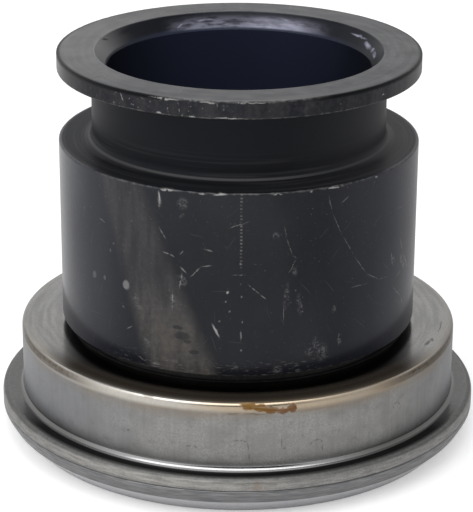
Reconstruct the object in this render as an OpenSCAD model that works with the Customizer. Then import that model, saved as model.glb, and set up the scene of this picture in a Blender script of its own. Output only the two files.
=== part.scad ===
// Clutch release bearing in millimetres, standing on its thrust face, with +Z up.
// A turned sleeve slides on the gearbox quill and is pushed by a fork in its groove.
// Its nose carries a sealed angular contact ball bearing. The thrust ring and the
// pressed shell around the balls turn with the clutch fingers, and the sleeve stands still.

/* [Sleeve] */
// Bore that slides on the gearbox quill
bore_d = 50.9; // [49:0.1:52]
// Chamfer at the mouth of the bore, measured across
mouth_w = 2.4; // [1:0.1:2.8]
// Chamfer at the mouth of the bore, measured down the bore
mouth_h = 3.2; // [1:0.1:5]
// Flange on top that keeps the fork in its groove
flange_d = 70.2; // [66:0.2:76]
// Thickness of the flange
flange_t = 3.4; // [2.5:0.05:6]
// Neck between the flange and the barrel
neck_d = 57.1; // [56.5:0.1:60]
// Width of the fork groove around the neck
groove_w = 13.9; // [10:0.1:20]
// Hollow at the foot of the neck
neck_foot_r = 2; // [0.8:0.1:3]
// Hollow at the top of the neck, under the flange
neck_top_r = 1; // [0.4:0.1:2]
// Thick barrel that the fork pushes on
barrel_d = 70; // [66:0.5:76]
// Height of the barrel
barrel_h = 36; // [26:0.1:46]
// Nose below the barrel, inside the bearing
nose_d = 57; // [55:0.1:60]
// End of the nose, measured back from the thrust face
nose_back = 2; // [1:0.1:2.6]
// Bevel at the end of the nose, inside and outside
nose_bevel = 0.8; // [0.3:0.1:1.2]
// Worn round on the outer edges of the flange and the barrel
sleeve_edge_r = 0.3; // [0.2:0.1:0.8]

/* [Balls] */
// Ball of eleven thirty-seconds of an inch
ball_d = 8.731; // [7.5:0.001:9.5]
// Balls in the ring
ball_count = 18; // [12:1:20]
// Slope of the line from race to race through a ball, measured from level
contact_angle = 45; // [40:1:50]
// Radius of the ball tracks over the diameter of a ball
track_ratio = 0.52; // [0.515:0.005:0.54]
// Play between a ball and each track
ball_play = 0.08; // [0.05:0.01:0.1]

/* [Rear race] */
// Wall of the race between the nose and the track
race_wall = 1.85; // [1.4:0.05:3]
// Steel above the track
race_roof = 2.25; // [1.5:0.05:4]
// Reach of the race past the ball circle
race_reach = 0.9; // [0.4:0.1:1.6]
// Skirt of the race below the ball centres
race_skirt = 0.6; // [0:0.1:1.5]
// Wall of the collar that stands up to the barrel
collar_w = 4; // [2.5:0.1:5]
// Hollow at the foot of the collar
collar_foot_r = 0.6; // [0.2:0.1:1]

/* [Thrust ring] */
// Thickness of the ring's flange
ring_h = 5.9; // [5.4:0.1:6.6]
// Steel below the track, down to the thrust face
track_floor = 6.7; // [6.7:0.1:8]
// Wall outside the track, which the shell is pressed on
ring_wall = 1.37; // [1.2:0.01:4]
// Top of the wall, measured up from the ball centres
ring_wall_rise = 1.4; // [0.6:0.1:2]
// Reach of the track towards the bore, past the ball circle
track_reach = 0.9; // [0.4:0.1:1.6]
// Bevel at the outer edge of the thrust face, the same across and up
thrust_bevel = 4.2; // [2:0.1:4.6]
// Upright part of the flange's side, measured down from the seam
rim_side_h = 0.9; // [0.7:0.1:1.5]
// Taper of the side below it, measured across at the level of the thrust face
rim_taper_w = 2.8; // [1.5:0.1:3.5]
// Worn round on the upper edge of the flange
ring_edge_r = 0.35; // [0.1:0.05:0.6]
// Bevel that leads the front seal into the bore
ring_mouth_bevel = 0.5; // [0.2:0.1:0.9]
// Ledge in the bore that the front seal is pushed up to, measured across
ledge_w = 0.6; // [0.3:0.1:1]
// Height of that ledge
ledge_h = 0.6; // [0.4:0.1:1]

/* [Dust shell] */
// Thickness of the sheet
sheet_t = 2.4; // [1.8:0.1:2.6]
// Width of the turned-out rim that sits on the thrust ring
rim_w = 4.2; // [3:0.1:7]
// Outer round at the top of the wall
shell_top_r = 0.7; // [0.4:0.1:1.8]
// Hollow inside the shell, between the wall and the lip
shell_in_r = 0.5; // [0.2:0.1:0.6]
// Hollow at the foot of the wall
shell_foot_r = 0.8; // [0.5:0.1:2]
// Round on the upper edge of the rim
rim_edge_r = 1.1; // [0.3:0.1:1.2]
// Round on the lower edge of the rim, which opens the seam
rim_seam_r = 0.3; // [0.1:0.05:0.5]
// Gap between the turned-in lip and the collar of the rear race
lip_gap = 1.1; // [0.9:0.1:2]
// Gap between the top of the shell and the barrel
barrel_gap = 1.8; // [1:0.1:4]

/* [Ball cage] */
// Thickness of the cage's sheet
cage_t = 1.2; // [0.8:0.1:1.4]
// Play of a ball in its pocket
pocket_play = 0.15; // [0.05:0.01:0.3]
// Sheet left beyond each pocket, to the edges of the cage
cage_margin = 1.8; // [1:0.1:2.2]
// Height of the turned-up outer edge of the cage
cage_rim_h = 1.6; // [1.3:0.1:1.9]

/* [Seals] */
// Running gap between a seal's lip and the steel that it wipes
seal_gap = 0.2; // [0.1:0.05:0.4]
// Thickness of the rear seal under the shell's lip
rear_seal_t = 1; // [0.8:0.1:2.5]
// Running gap between the rear seal and the top of the race
rear_seal_run = 0.4; // [0.3:0.05:1]
// Wall of both seals' lips
seal_lip_w = 0.65; // [0.4:0.05:0.7]
// Width of the front seal, from its lip to the bore of the thrust ring
front_seal_w = 2.8; // [2.4:0.1:3.4]
// Front end of the seal, measured back from the thrust face
front_seal_back = 1.6; // [1:0.1:2.2]
// Wall of the front seal's heel, pressed into the thrust ring
front_seal_heel = 1.1; // [0.8:0.05:1.3]
// Length of the front seal's lip along the nose
front_seal_lip_h = 2.4; // [1.8:0.1:2.5]
// Thickness of the web between heel and lip
front_seal_web_t = 1.2; // [0.8:0.1:1.6]

/* [Hidden] */
$fn = 128;
ball_names = [for (i = [1 : ball_count]) str("ball_", i < 10 ? "0" : "", i)];
turned_names = ["carrier_sleeve", "rear_race", "thrust_ring", "dust_shell"];
inner_names = ["ball_cage", "rear_seal", "front_seal"];

// Radii from the bore outwards
bore_r = bore_d / 2;
neck_r = neck_d / 2;
barrel_r = barrel_d / 2;
flange_r = flange_d / 2;
nose_r = nose_d / 2;
ball_r = ball_d / 2;
track_r = hundredth(track_ratio * ball_d);
pitch_r = nose_r + race_wall + track_r;
collar_r = nose_r + collar_w;
lip_r = collar_r + lip_gap;
ring_bore_r = nose_r + seal_gap + front_seal_w;
ring_wall_in_r = pitch_r + track_r;
ring_wall_r = ring_wall_in_r + ring_wall;
shell_r = ring_wall_r + sheet_t;
rim_r = shell_r + rim_w;

// Offset of each track's centre from the ball centre, which leaves the play at the contact point
track_shift = track_r - ball_r - ball_play;
track_shift_r = track_shift * cos(contact_angle);
track_shift_z = track_shift * sin(contact_angle);

// Heights from the thrust face upwards
ball_z = hundredth(track_floor + track_r - track_shift_z);
rim_z = ring_h + sheet_t;
ring_wall_z = ball_z + ring_wall_rise;
race_z = hundredth(ball_z - track_shift_z + track_r + race_roof);
rear_seal_z = race_z + rear_seal_run;
lip_z = rear_seal_z + rear_seal_t;
shell_z = lip_z + sheet_t;
barrel_z = shell_z + barrel_gap;
shoulder_z = barrel_z + barrel_h;
flange_z = shoulder_z + groove_w;
top_z = flange_z + flange_t;
ledge_z = ring_h - ledge_h;

// Length by which a cut runs out of the steel, and a fill runs into it
past = 0.3;

// Machining dimension, to the hundredth
function hundredth(size) = round(size * 100) / 100;

// Strip of a turned section between two radii and two heights
module band(r0, r1, z0, z1) {
    translate([r0, z0])
        square([r1 - r0, z1 - z0]);
}

// Corner of a turned section left outside a round of radius f, and a little past the corner.
// It fills a hollow corner, or is cut from a sharp one.
// to_r and to_z, each 1 or -1, point to the round's centre.
module corner(r, z, f, to_r, to_z) {
    difference() {
        translate([to_r > 0 ? r - past : r - f, to_z > 0 ? z - past : z - f])
            square(f + past);
        translate([r + to_r * f, z + to_z * f])
            circle(f);
    }
}

// Straight bevel cut from a corner of a turned section
module bevel(r, z, w, h, to_r, to_z) {
    out_r = r - to_r * past;
    out_z = z - to_z * past;
    in_r = r + to_r * w;
    in_z = z + to_z * h;
    polygon([[out_r, out_z], [in_r, out_z], [in_r, z], [r, in_z], [out_r, in_z]]);
}

// Turned sleeve: flange, fork groove, barrel and nose in one piece
module carrier_sleeve() {
    color("#33363a")
        rotate_extrude()
            difference() {
                union() {
                    band(bore_r, nose_r, nose_back, barrel_z);
                    band(bore_r, barrel_r, barrel_z, shoulder_z);
                    band(bore_r, neck_r, shoulder_z, flange_z);
                    band(bore_r, flange_r, flange_z, top_z);
                    corner(neck_r, shoulder_z, neck_foot_r, 1, 1);
                    corner(neck_r, flange_z, neck_top_r, 1, -1);
                }
                bevel(bore_r, top_z, mouth_w, mouth_h, 1, -1);
                bevel(bore_r, nose_back, nose_bevel, nose_bevel, 1, 1);
                bevel(nose_r, nose_back, nose_bevel, nose_bevel, -1, 1);
                corner(barrel_r, barrel_z, sleeve_edge_r, -1, 1);
                corner(barrel_r, shoulder_z, sleeve_edge_r, -1, -1);
                corner(flange_r, flange_z, sleeve_edge_r, -1, 1);
                corner(flange_r, top_z, sleeve_edge_r, -1, -1);
            }
}

// Standing race, pressed on the nose and up against the barrel
module rear_race() {
    color("#b4b8bb")
        rotate_extrude()
            difference() {
                union() {
                    band(nose_r, collar_r, ball_z - race_skirt, barrel_z);
                    band(nose_r, pitch_r + race_reach, ball_z - race_skirt, race_z);
                    corner(collar_r, race_z, collar_foot_r, 1, 1);
                }
                translate([pitch_r + track_shift_r, ball_z - track_shift_z])
                    circle(track_r);
            }
}

// Turning race with the flat thrust face that the clutch fingers run on
module thrust_ring() {
    color("#8f9193")
        rotate_extrude()
            difference() {
                union() {
                    band(ring_bore_r, rim_r, 0, ring_h);
                    band(ring_bore_r - ledge_w, ring_bore_r, ledge_z, ring_h);
                    band(pitch_r - track_reach, ring_wall_r, 0, ring_wall_z);
                }
                translate([pitch_r - track_shift_r, ball_z + track_shift_z])
                    circle(track_r);
                translate([pitch_r, ball_z + track_shift_z])
                    square([track_r - track_shift_r, ring_wall_rise + past]);
                bevel(ring_bore_r, 0, ring_mouth_bevel, ring_mouth_bevel, 1, 1);
                bevel(rim_r, 0, thrust_bevel, thrust_bevel, -1, 1);
                bevel(rim_r, 0, rim_taper_w, ring_h - rim_side_h, -1, 1);
                corner(rim_r, ring_h, ring_edge_r, -1, -1);
            }
}

// Pressed sheet shell: turned-in lip, wall and turned-out rim
module dust_shell() {
    color("#a3a29d")
        rotate_extrude()
            difference() {
                union() {
                    band(ring_wall_r, shell_r, ring_h, shell_z);
                    band(lip_r, shell_r, lip_z, shell_z);
                    band(ring_wall_r, rim_r, ring_h, rim_z);
                    corner(shell_r, rim_z, shell_foot_r, 1, 1);
                    corner(ring_wall_r, lip_z, shell_in_r, -1, -1);
                }
                corner(shell_r, shell_z, shell_top_r, -1, -1);
                corner(ring_wall_r, ring_h, shell_foot_r + sheet_t, 1, 1);
                corner(rim_r, rim_z, rim_edge_r, -1, -1);
                corner(rim_r, ring_h, rim_seam_r, -1, 1);
            }
}

// Ball position in the ring, for the pockets and the balls
module at_ball(i) {
    rotate([0, 0, i * 360 / ball_count])
        translate([pitch_r, 0, ball_z])
            children();
}

// Pressed cage: a sloping sheet through the ball centres, with a round pocket for each ball
// and an upturned edge
module ball_cage() {
    half = ball_r + pocket_play + cage_margin;
    slope = 90 - contact_angle;
    bend_r = pitch_r + half * cos(slope);
    bend_z = ball_z + half * sin(slope);
    color("#8d8a80")
        difference() {
            rotate_extrude()
                union() {
                    translate([pitch_r, ball_z])
                        rotate(slope)
                            translate([-half, -cage_t / 2])
                                square([2 * half, cage_t]);
                    translate([bend_r, bend_z])
                        circle(d = cage_t);
                    band(bend_r - cage_t / 2, bend_r + cage_t / 2, bend_z, bend_z + cage_rim_h);
                }
            for (i = [0 : ball_count - 1])
                at_ball(i)
                    rotate([0, -slope, 0])
                        cylinder(h = 2 * cage_t, r = ball_r + pocket_play, center = true);
        }
}

// Rubber ring under the shell's lip, wiping the collar of the rear race
module rear_seal() {
    color("#1f1f21")
        rotate_extrude()
            difference() {
                union() {
                    band(collar_r + seal_gap, ring_wall_r, rear_seal_z, lip_z);
                    band(collar_r + seal_gap, collar_r + seal_gap + seal_lip_w, rear_seal_z, shell_z);
                }
                corner(ring_wall_r, lip_z, shell_in_r + seal_gap, -1, -1);
            }
}

// Rubber ring pressed into the thrust ring from the front, wiping the nose
module front_seal() {
    lip_in_r = nose_r + seal_gap;
    color("#1f1f21")
        rotate_extrude()
            union() {
                band(ring_bore_r - front_seal_heel, ring_bore_r, front_seal_back, ledge_z);
                band(lip_in_r, ring_bore_r, ledge_z - front_seal_web_t, ledge_z);
                band(lip_in_r, lip_in_r + seal_lip_w, ledge_z - front_seal_lip_h, ledge_z);
            }
}

// One bearing ball in its pocket
module ball(i) {
    color("#d5d8da")
        at_ball(i)
            sphere(ball_r);
}

carrier_sleeve();
rear_race();
thrust_ring();
dust_shell();
ball_cage();
rear_seal();
front_seal();
for (i = [0 : ball_count - 1])
    ball(i);
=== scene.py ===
# Clutch release bearing: the finished pieces, their wear, the light and the camera.
# Lengths are in millimetres and angles in degrees, until a mesh or a lamp needs metres.
# An angle on the bearing is 0 at the front, where the camera stands, and grows to the right.
import math

import bpy
from mathutils import Matrix, Vector


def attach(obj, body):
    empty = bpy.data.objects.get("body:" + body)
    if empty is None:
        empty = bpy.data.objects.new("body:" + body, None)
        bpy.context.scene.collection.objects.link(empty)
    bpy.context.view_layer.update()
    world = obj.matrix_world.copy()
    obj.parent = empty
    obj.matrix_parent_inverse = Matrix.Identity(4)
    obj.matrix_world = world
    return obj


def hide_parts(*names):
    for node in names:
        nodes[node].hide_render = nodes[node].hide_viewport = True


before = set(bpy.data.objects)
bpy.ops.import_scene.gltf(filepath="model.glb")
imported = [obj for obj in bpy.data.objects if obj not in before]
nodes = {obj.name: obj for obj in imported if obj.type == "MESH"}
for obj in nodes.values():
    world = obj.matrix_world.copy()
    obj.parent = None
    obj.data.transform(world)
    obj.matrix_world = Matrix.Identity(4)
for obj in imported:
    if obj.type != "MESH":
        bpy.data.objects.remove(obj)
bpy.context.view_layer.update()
MM = 0.001

# Sizes of the sleeve
BORE_R = 25.45
MOUTH_R = 27.85
MOUTH_Z = 73.59
NECK_R = 28.55
BARREL_R = 35.0
NOSE_R = 28.5
NOSE_Z = 2.0
NOSE_BEVEL = 0.8
BARREL_Z = 23.49
SHOULDER_Z = 59.49
FLANGE_R = 35.1
FLANGE_Z = 73.39
TOP_Z = 76.79
SLEEVE_EDGE = 0.3
NECK_ROUND = 2.0
FLANGE_ROUND = 1.0
FINE_EDGE = 0.15

# Sizes of the shell
SHELL_R = 43.2
SHELL_IN_R = 40.8
SHELL_Z = 21.69
LIP_R = 33.6
LIP_Z = 19.29
RIM_R = 47.4
RIM_Z = 8.3
SEAM_Z = 5.9

# Sizes of the thrust ring
RING_BORE_R = 31.5
RING_BEVEL = 0.5
LEDGE_R = 30.9
LEDGE_Z = 5.3
RING_WALL_Z = 12.57
BEVEL_R = 43.2
TAPER_R = 46.38
TAPER_Z = 3.18
SIDE_Z = 5.0
RING_TRACK_R = 33.99
TRACK_CENTRE = (34.823, 11.237)
TRACK_R = 4.54
TRACK_END = -100.57

# Faces round a turned piece, and the bend in radians from which an edge is shaded sharp
TURNS = 320
SHARP = 0.5

# Places of the wear
WEAR_REACH = 0.42
BAND_TOP_Z = 56.0
BAND_ANGLE = -36.5
TICK_ANGLE = 0.9
TICK_PITCH = 0.67
TICK_Z = 44.0
# Height from which the race's collar is painted black as shade
GAP_SHADE_Z = 17.5

# How much longer than its run each part of a mark is, so that the parts join at the bends
OVERLAP = 1.16


class Field:
    """A socket of a node tree. An expression on fields adds its Math nodes."""

    def __init__(self, tree, socket=None):
        self.tree = tree
        self.socket = socket

    def add(self, kind, settings=None, sockets=None, out=0):
        """Adds any other node: its type, its settings, then its sockets' values or links."""
        node = self.tree.nodes.new(kind)
        for name, setting in (settings or {}).items():
            setattr(node, name, setting)
        for key, value in (sockets or {}).items():
            if isinstance(value, Field):
                self.tree.links.new(value.socket, node.inputs[key])
            else:
                node.inputs[key].default_value = value
        return Field(self.tree, node.outputs[out] if node.outputs else None)

    def math(self, operation, *others):
        return self.add("ShaderNodeMath", {"operation": operation}, dict(enumerate((self, *others))))

    def __add__(self, other):
        return self.math("ADD", other)

    def __sub__(self, other):
        return self.math("SUBTRACT", other)

    def __mul__(self, other):
        return self.math("MULTIPLY", other)

    def __truediv__(self, other):
        return self.math("DIVIDE", other)

    def __rsub__(self, other):
        return self.add("ShaderNodeMath", {"operation": "SUBTRACT"}, {0: other, 1: self})

    def __abs__(self):
        return self.math("ABSOLUTE")

    __radd__ = __add__
    __rmul__ = __mul__

    def least(self, other):
        return self.math("MINIMUM", other)

    def most(self, other):
        return self.math("MAXIMUM", other)

    def ramp(self, start, end):
        """A smooth rise from 0 at start to 1 at end, whichever of the two is larger."""
        span = {"Value": self, "From Min": start, "From Max": end}
        return self.add("ShaderNodeMapRange", {"interpolation_type": "SMOOTHSTEP"}, span)

    def towards(self, other, share):
        """This value, moved towards another one by a share from 0 to 1."""
        return self + (other - self) * share

    def split(self):
        node = self.add("ShaderNodeSeparateXYZ", None, {0: self}).socket.node
        return [Field(self.tree, socket) for socket in node.outputs]

    def joined(self, x, y, z):
        return self.add("ShaderNodeCombineXYZ", None, {0: x, 1: y, 2: z})

    def vector(self, operation, *others, out=0):
        sockets = dict(enumerate((self, *others)))
        return self.add("ShaderNodeVectorMath", {"operation": operation}, sockets, out)


class Finish:
    """A procedural material, with the places on a turned piece that its patterns follow."""

    def __init__(self, name):
        self.material = bpy.data.materials.new(name)
        self.material.use_nodes = True
        self.tree = self.material.node_tree
        self.tree.nodes.clear()
        self.start = Field(self.tree)
        metres = self.start.add("ShaderNodeTexCoord", out="Object")
        self.spot = metres.vector("MULTIPLY", (1 / MM, 1 / MM, 1 / MM))
        x, y, self.z = self.spot.split()
        self.r = (x * x + y * y).math("SQRT")
        self.angle = x.math("ARCTAN2", y * -1.0) * (180 / math.pi)
        self.behind = x.math("ARCTAN2", y) * (180 / math.pi)
        self.ringwise = self.start.joined(self.r, self.z, self.angle)

    def noise(self, grain, detail, seed, place=None, rough=0.5):
        """Noise with that many grains to a millimetre: one number, or one for each axis."""
        grains = grain if isinstance(grain, tuple) else (grain,) * 3
        apart = (seed * 7.3, seed * 3.7, seed * 5.1)
        where = (place or self.spot).vector("MULTIPLY_ADD", grains, apart)
        sockets = {"Vector": where, "Scale": 1.0, "Detail": detail, "Roughness": rough}
        return self.start.add("ShaderNodeTexNoise", None, sockets)

    def turning(self, grain, seed=0):
        """Fine rings, as a lathe tool leaves them."""
        return self.noise((grain, grain, 0.02), 4.0, seed, self.ringwise)

    def around(self, middle, start, end):
        """A change with the distance from that angle: 0 at start degrees and 1 at end degrees."""
        return abs(self.angle - middle).ramp(start, end)

    def unrolled(self, radius, angle=None, up=None):
        """The surface at that radius laid flat: along the curve, up, and 1 for the offsets of marks."""
        along = (angle or self.angle) * (radius * math.pi / 180)
        return self.start.joined(along, up or self.z, 1.0)

    def shaken(self, place, grain, reach, seed=0):
        """A flat place moved about by noise, so that outlines made with it aren't smooth."""
        where = self.spot.vector("MULTIPLY_ADD", (grain,) * 3, (seed * 7.3,) * 3)
        noise = self.start.add("ShaderNodeTexNoise", None, {"Vector": where, "Scale": 1.0}, "Color")
        return noise.vector("SUBTRACT", (0.5,) * 3).vector("MULTIPLY_ADD", (reach, reach, 0.0), place)

    def nearest(self, place, ovals):
        """How far a flat place is from the nearest oval: 0 in its middle and 1 on its outline.
        An oval is its middle, the way that it runs, half its length and half its width."""
        near = None
        for middle, way, half_long, half_wide in ovals:
            along = way / half_long
            across = Vector((-way.y, way.x)) / half_wide
            u = place.vector("DOT_PRODUCT", (*along, -along.dot(middle)), out="Value")
            v = place.vector("DOT_PRODUCT", (*across, -across.dot(middle)), out="Value")
            far = u * u + v * v
            near = near.least(far) if near else far
        return near.math("SQRT")

    def marks(self, place, radius, rows):
        """1 along the middle of each mark, and 0 from its outline on.
        A row is a width and the points that the mark runs through, each an angle and a height."""
        ovals = []
        for width, *points in rows:
            ends = [Vector((math.radians(angle) * radius, height)) for angle, height in points]
            for first, last in zip(ends, ends[1:]):
                run = last - first
                half = run.length / 2 * OVERLAP
                ovals.append(((first + last) / 2, run.normalized(), half, width / 2))
        return self.nearest(place, ovals).ramp(1.0, 0.3)

    def spots(self, place, radius, rows):
        """1 in the middle of each round spot. A row is an angle, a height, a width and a height of it."""
        ovals = []
        for angle, height, wide, high in rows:
            middle = Vector((math.radians(angle) * radius, height))
            ovals.append((middle, Vector((1, 0)), wide / 2, high / 2))
        return self.nearest(place, ovals).ramp(1.0, 0.55)

    def hairlines(self, place, size, share, seed=0):
        """Short straight scratches in all directions, about one to a square of that size."""
        shift = (seed * 3.1, seed * 5.7, 0.0)
        where = place.vector("MULTIPLY_ADD", (1 / size, 1 / size, 0.0), shift)
        settings = {"voronoi_dimensions": "2D"}
        cell = self.start.add("ShaderNodeTexVoronoi", settings, {"Vector": where, "Scale": 1.0}, "Color")
        centre = Field(self.tree, cell.socket.node.outputs["Position"])
        turn, kept, long = cell.split()
        local = where.vector("SUBTRACT", centre)
        spun = self.start.add(
            "ShaderNodeVectorRotate",
            {"rotation_type": "Z_AXIS"},
            {"Vector": local, "Angle": turn * math.tau},
        )
        along, across, _ = spun.split()
        line = abs(across).ramp(0.1 / size, 0.02 / size) * abs(along).ramp(0.4, 0.15)
        return line * kept.ramp(1 - share, 1 - share * 0.5) * (0.3 + long * 0.7)

    def edge(self, radius, height, reach):
        """1 on an edge of the turned piece, falling to 0 that far from it."""
        away = abs(self.r - radius) + abs(self.z - height)
        return away.ramp(reach, reach * 0.45)

    def mix(self, first, second, share):
        """One colour moved towards another. A Mix node's sockets for colours go by number."""
        sockets = {0: share, 6: first, 7: second}
        return self.start.add("ShaderNodeMix", {"data_type": "RGBA"}, sockets, 2)

    def surface(self, sockets, relief, depth):
        """Ends the material in its shader. relief runs from 0 to 1 over a depth in millimetres."""
        height = {"Height": relief, "Strength": 1.0, "Distance": depth * MM}
        bump = self.start.add("ShaderNodeBump", None, height)
        shader = self.start.add("ShaderNodeBsdfPrincipled", None, {**sockets, "Normal": bump})
        self.start.add("ShaderNodeOutputMaterial", None, {"Surface": shader})
        return self.material


# Colours, as shares of the light
OXIDE = (0.003, 0.0034, 0.006, 1)
KEPT_BLACK = (0.001, 0.001, 0.0012, 1)
GROOVE_BLACK = (0.010, 0.0105, 0.0125, 1)
OXIDE_PALE = (0.008, 0.0088, 0.0125, 1)
OXIDE_BLUE = (0.009, 0.0102, 0.018, 1)
SMEAR_BROWN = (0.062, 0.058, 0.059, 1)
SMEAR_TAN = (0.115, 0.104, 0.090, 1)
LIT_BORE_NAVY = (0.02, 0.024, 0.045, 1)
WORN_OXIDE = (0.05, 0.05, 0.053, 1)
BARE_STEEL = (0.46, 0.45, 0.44, 1)
DUST = (0.20, 0.195, 0.20, 1)
GREASE = (0.50, 0.50, 0.64, 1)
SHEET = (0.365, 0.36, 0.35, 1)
SHEET_DULL = (0.265, 0.261, 0.254, 1)
SHEET_BLUE = (0.24, 0.245, 0.262, 1)
SHEET_PIT = (0.15, 0.147, 0.142, 1)
SHEET_TAN = (0.27, 0.215, 0.15, 1)
HIGHLIGHT_STEEL = (0.62, 0.59, 0.54, 1)
CORNER_HIGHLIGHT_TAN = (0.56, 0.46, 0.34, 1)
RIM_DULL_AND_SHADE = (0.13, 0.13, 0.128, 1)
OIL_BROWN_AND_SHADE = (0.045, 0.033, 0.022, 1)
SIDE_BROWN = (0.07, 0.052, 0.034, 1)
BURNT_OIL_AND_SHADE = (0.010, 0.0062, 0.003, 1)
GRIME_AND_SHADE = (0.005, 0.005, 0.0048, 1)
RUST = (0.17, 0.082, 0.036, 1)
RUST_GOLD = (0.20, 0.105, 0.028, 1)
STAIN_BROWN = (0.09, 0.075, 0.065, 1)
BEARING_STEEL = (0.66, 0.66, 0.66, 1)
BEARING_DULL = (0.50, 0.50, 0.51, 1)
GAP_SHADE_BLACK = (0.008, 0.007, 0.006, 1)
GROUND = (0.26, 0.26, 0.265, 1)
GROUND_DULL = (0.18, 0.18, 0.185, 1)
BEVEL_REFLECTION_STEEL = (0.78, 0.78, 0.80, 1)
BALL_STEEL = (0.76, 0.76, 0.77, 1)
BALL_DULL = (0.62, 0.62, 0.63, 1)
CAGE_STEEL = (0.42, 0.40, 0.36, 1)
CAGE_DULL = (0.30, 0.285, 0.25, 1)
RUBBER = (0.012, 0.012, 0.013, 1)
RUBBER_BLOOM = (0.032, 0.031, 0.03, 1)

# Scratches on the barrel: width, then the points that each runs through, by angle and height
BARREL_SCRATCHES = [
    (0.30, (-3.2, 52.8), (3.6, 54.2)),
    (0.25, (-1.7, 43.8), (2.5, 43.8)),
    (0.30, (2.8, 42.1), (6.8, 39.9), (8.6, 38.9)),
    (0.40, (-10.4, 48.7), (-7.4, 48.1)),
    (0.35, (-23.3, 47.2), (-21.0, 47.0), (-19.4, 46.4)),
    (0.30, (-17.8, 47.1), (-16.5, 48.0)),
    (0.40, (-18.5, 45.1), (-15.0, 43.4)),
    (0.30, (-14.7, 42.8), (-11.0, 45.2), (-7.7, 45.5)),
    (0.40, (-17.0, 43.8), (-17.9, 40.2)),
    (0.30, (-20.1, 40.0), (-20.2, 35.6)),
    (0.45, (-3.9, 38.3), (-3.3, 38.7)),
    (0.45, (-2.8, 36.4), (-2.2, 36.8)),
    (0.45, (-5.9, 34.3), (-5.2, 34.8)),
    (0.30, (-47.6, 50.5), (-44.8, 50.1)),
    (0.30, (-36.6, 30.0), (-34.2, 31.1)),
    (0.30, (-32.1, 25.3), (-29.9, 24.6)),
    (0.60, (-24.3, 59.2), (-24.2, 55.3)),
    (0.70, (0.5, 46.0), (1.0, 46.0)),
    (0.50, (0.7, 42.0), (1.2, 42.0)),
    (0.70, (0.8, 39.5), (1.4, 39.5)),
    (0.60, (1.0, 34.5), (1.6, 34.5)),
    (0.45, (1.0, 33.0), (1.0, 30.5)),
    (0.45, (1.0, 29.0), (1.2, 28.5)),
    (0.50, (-28.0, 24.5), (-24.0, 24.5)),
    (0.30, (-24.5, 52.0), (-22.0, 49.5)),
]
# Cuts down to the bare steel
DEEP_CUTS = [
    (0.60, (-7.8, 34.1), (-5.4, 31.2)),
    (0.60, (-3.4, 40.0), (-2.8, 40.6)),
    (0.50, (-24.5, 59.0), (-24.0, 56.5)),
]
# Pale dusty smudges on the barrel
BARREL_SCUFFS = [
    (1.8, (11.0, 52.0), (11.5, 50.5)),
    (1.4, (17.0, 45.0), (17.5, 43.0)),
    (1.6, (18.5, 39.5), (19.5, 35.0)),
    (1.4, (15.0, 42.0), (14.5, 36.0)),
    (2.4, (22.5, 28.5), (22.5, 26.5)),
    (3.2, (26.5, 29.0), (27.0, 25.0)),
    (2.0, (24.0, 30.5), (26.0, 26.0)),
    (1.4, (33.0, 30.0), (33.0, 27.5)),
    (1.2, (30.5, 36.0), (31.0, 34.5)),
    (1.8, (10.0, 24.5), (14.0, 24.5)),
    (1.2, (-0.5, 26.0), (-0.5, 24.5)),
    (3.0, (-18.5, 57.5), (-15.0, 56.5)),
    (1.4, (-24.5, 59.0), (-24.0, 55.5)),
    (1.8, (-17.5, 55.0), (-16.5, 54.5)),
    (2.8, (-18.5, 43.0), (-16.0, 41.0)),
    (1.8, (-20.0, 39.5), (-20.0, 36.5)),
    (2.0, (-29.5, 30.0), (-28.5, 27.0)),
    (2.4, (-34.0, 38.0), (-31.0, 34.5)),
    (1.8, (56.0, 42.0), (58.0, 39.5)),
    (2.0, (62.0, 41.0), (66.0, 37.0)),
]
# Dark oily blots in the rubbed band: angle, height, width, height of the blot
BAND_BLOTS = [
    (-17.0, 31.0, 4.0, 2.0),
    (-13.5, 28.0, 2.6, 1.1),
    (-18.5, 32.6, 2.6, 1.0),
    (-15.5, 30.0, 2.0, 1.0),
]
# Fainter scratches on the right of the barrel
RIGHT_SCRATCHES = [
    (0.25, (27.9, 58.0), (29.4, 54.2), (33.2, 49.5), (38.0, 44.7)),
    (0.25, (38.0, 44.7), (43.3, 40.5), (49.2, 38.3), (54.1, 38.0)),
    (0.25, (36.4, 38.7), (43.9, 38.4)),
    (0.25, (13.8, 53.1), (14.5, 50.8), (16.5, 47.1), (17.7, 46.5), (15.0, 43.3)),
    (0.30, (61.1, 44.9), (63.9, 41.1), (69.4, 36.4)),
    (0.30, (56.0, 42.7), (56.1, 41.0)),
    (0.30, (62.8, 37.4), (59.2, 36.7)),
    (0.30, (57.4, 35.2), (63.6, 31.9), (65.7, 29.3)),
    (0.30, (32.2, 55.8), (35.5, 57.0)),
    (0.35, (32.6, 30.2), (32.7, 27.3)),
    (0.25, (13.9, 38.0), (14.0, 33.4)),
    (0.40, (17.3, 40.2), (17.9, 40.3)),
    (0.40, (19.6, 35.8), (20.2, 35.9)),
    (0.40, (30.2, 35.3), (30.8, 35.4)),
]
# Chips along the edge between the shoulder and the barrel
SHOULDER_CHIPS = [
    (0.60, (-24.5, 59.2), (-19.3, 59.3)),
    (0.40, (-12.2, 59.2), (-9.3, 59.2)),
    (0.50, (-8.0, 59.2), (-3.0, 59.3)),
    (0.50, (10.0, 59.2), (13.2, 59.2)),
    (0.45, (21.6, 59.1), (22.8, 59.1)),
    (0.35, (26.1, 59.2), (33.5, 59.1)),
    (0.45, (46.0, 59.1), (47.2, 59.1)),
]
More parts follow.
